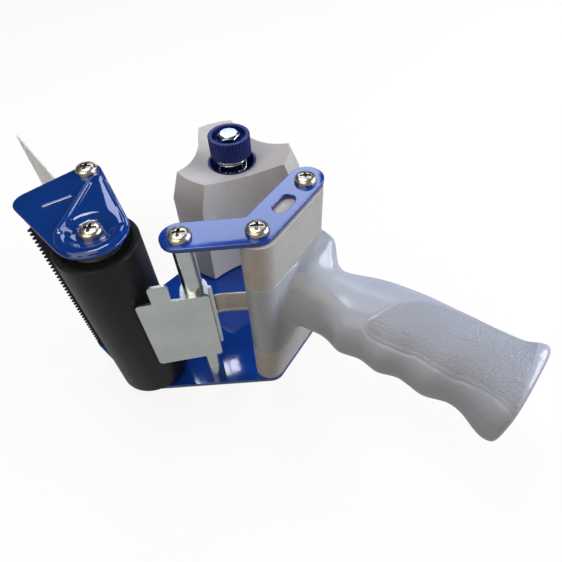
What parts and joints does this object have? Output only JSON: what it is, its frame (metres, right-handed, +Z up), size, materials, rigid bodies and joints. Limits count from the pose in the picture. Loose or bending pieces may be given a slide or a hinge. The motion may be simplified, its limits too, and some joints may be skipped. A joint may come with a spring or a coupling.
{
  "type": "handheld tape dispenser",
  "caption": "Hand-held dispenser for wide carton tape: side plate frame, pistol grip, three-lobed roll hub with a screw brake, pressing roller, tension plate and toothed cutter.",
  "frame": {"origin": "where the roll hub's axis meets the underside of the base plate, on which the part lies", "axes": "+Z up along the hub's axis, +X towards the handle's side, -Y towards the roller and the guide post"},
  "size_m": [0.217, 0.1863, 0.0962],
  "materials": {
    "plate_blue": "glossy enamel",
    "zinc_plate": "bright zinc plating",
    "screw_steel": "polished",
    "spring_steel": "satin",
    "brake_steel": "polished",
    "spacer_grey": "fine matt",
    "handle_white": "glossy with a grained panel",
    "hub_grey": "satin",
    "bush_white": "satin",
    "roller_rubber": "satin",
    "core_black": "matt",
    "blade_steel": "blackened",
    "flap_film": "frosted, lets light through",
    "knob_navy": "satin"
  },
  "bodies": {
    "frame": {"base_plate": "plate_blue", "top_plate": "plate_blue", "link_bar": "plate_blue", "lower_spacer": "spacer_grey", "upper_spacer": "spacer_grey", "handle": "handle_white", "tie_rods": "zinc_plate", "pan_screws": "screw_steel", "base_screws": "screw_steel", "guide_post": "zinc_plate", "post_clip": "spring_steel", "leaf_spring": "spring_steel", "roller_axle": "zinc_plate", "corner_post": "zinc_plate", "blade_carrier": "zinc_plate", "blade": "blade_steel", "blade_screws": "screw_steel", "blade_nuts": "screw_steel", "flap": "flap_film", "flap_strip": "zinc_plate", "flap_rivets": "screw_steel", "spindle_tube": "zinc_plate", "brake_spring": "brake_steel"},
    "roller": {"roller_core": "core_black", "roller_sleeve": "roller_rubber", "roller_bushes": "bush_white"},
    "tension_plate": {"tension_plate": "zinc_plate"},
    "hub": {"hub": "hub_grey", "hub_liner": "knob_navy", "hub_bush": "bush_white", "brake_washer": "brake_steel"},
    "brake_slide": {"spring_washer": "brake_steel"},
    "knob": {"spindle_bolt": "brake_steel", "knob": "knob_navy"}
  },
  "joints": [
    {"name": "roller_spin", "type": "hinge", "parent": "frame", "child": "roller", "pos_m": [-0.0419, -0.0889, 0], "axis": [0, 0, 1], "continuous": true},
    {"name": "plate_swing", "type": "hinge", "parent": "frame", "child": "tension_plate", "pos_m": [-0.0107, -0.0938, 0], "axis": [0, 0, 1], "range_deg": [0, 25], "stiffness_Nm_per_rad": 0.1, "springref_deg": -5.73, "deforming": ["leaf_spring"]},
    {"name": "hub_spin", "type": "hinge", "parent": "frame", "child": "hub", "pos_m": [0, 0, 0], "axis": [0, 0, 1], "continuous": true},
    {"name": "brake_travel", "type": "slide", "parent": "frame", "child": "brake_slide", "axis": [0, 0, 1], "range_m": [-0.001, 0.001], "deforming": ["brake_spring"]},
    {"name": "knob_turn", "type": "hinge", "parent": "brake_slide", "child": "knob", "pos_m": [0, 0, 0], "axis": [0, 0, 1], "range_deg": [-360, 360]}
  ],
  "couplings": [
    {"joint": "knob_turn", "follows": "brake_travel", "rad_per_m": 6283}
  ]
}
